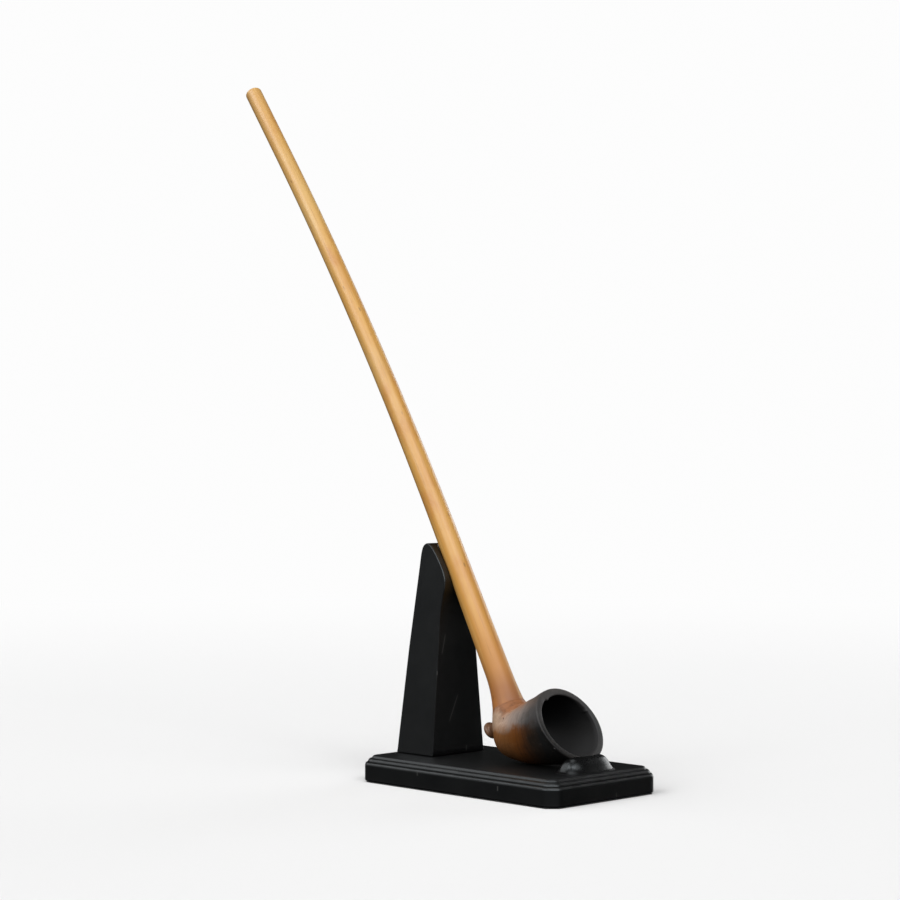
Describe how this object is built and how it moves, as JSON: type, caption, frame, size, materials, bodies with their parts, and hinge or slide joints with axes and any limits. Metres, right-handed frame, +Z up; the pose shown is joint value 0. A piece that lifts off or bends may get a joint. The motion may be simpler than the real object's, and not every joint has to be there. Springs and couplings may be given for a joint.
{
  "type": "long-stemmed tobacco pipe on display stand",
  "caption": "Long curved wooden pipe stem on a wide cup-shaped bowl, resting upright on a black moulded plinth and leaning in the groove of a tapered post.",
  "frame": {"origin": "centre of the stand's flat underside", "axes": "+Z up; +X along the plinth from the post towards the bowl's mouth; the pipe lies in the plane Y = 0"},
  "size_m": [0.2903, 0.0842, 0.402],
  "materials": {
    "black_lacquer": "satin black lacquer on wood, edges slightly worn",
    "stem_wood": "polished honey-coloured wood, reddish brown at the foot",
    "bowl_wood": "waxed brown wood smoked to charcoal towards the rim",
    "knob_wood": "waxed brown wood",
    "dowel_wood": "bare beech",
    "screw_steel": "zinc-plated",
    "black_felt": "black felt"
  },
  "bodies": {
    "stand": {"plinth_base": "black_lacquer", "plinth_top": "black_lacquer", "post": "black_lacquer", "cradle": "black_lacquer", "felt_pad": "black_felt", "post_screw_front": "screw_steel", "post_screw_rear": "screw_steel", "post_dowel_left": "dowel_wood", "post_dowel_right": "dowel_wood", "cradle_dowel_left": "dowel_wood", "cradle_dowel_right": "dowel_wood"},
    "bowl": {"bowl": "bowl_wood", "heel_knob": "knob_wood"},
    "tenon": {"tenon": "stem_wood"},
    "stem": {"stem": "stem_wood"}
  },
  "joints": [
    {"name": "pipe_lift", "type": "slide", "parent": "stand", "child": "bowl", "axis": [0, 0, 1], "range_m": [0, 0.1]},
    {"name": "stem_twist", "type": "hinge", "parent": "bowl", "child": "tenon", "pos_m": [0.0029, 0, 0.0444], "axis": [-0.4733, 0, 0.8809], "continuous": true},
    {"name": "stem_pull", "type": "slide", "parent": "tenon", "child": "stem", "axis": [-0.4733, 0, 0.8809], "range_m": [0, 0.012]}
  ]
}
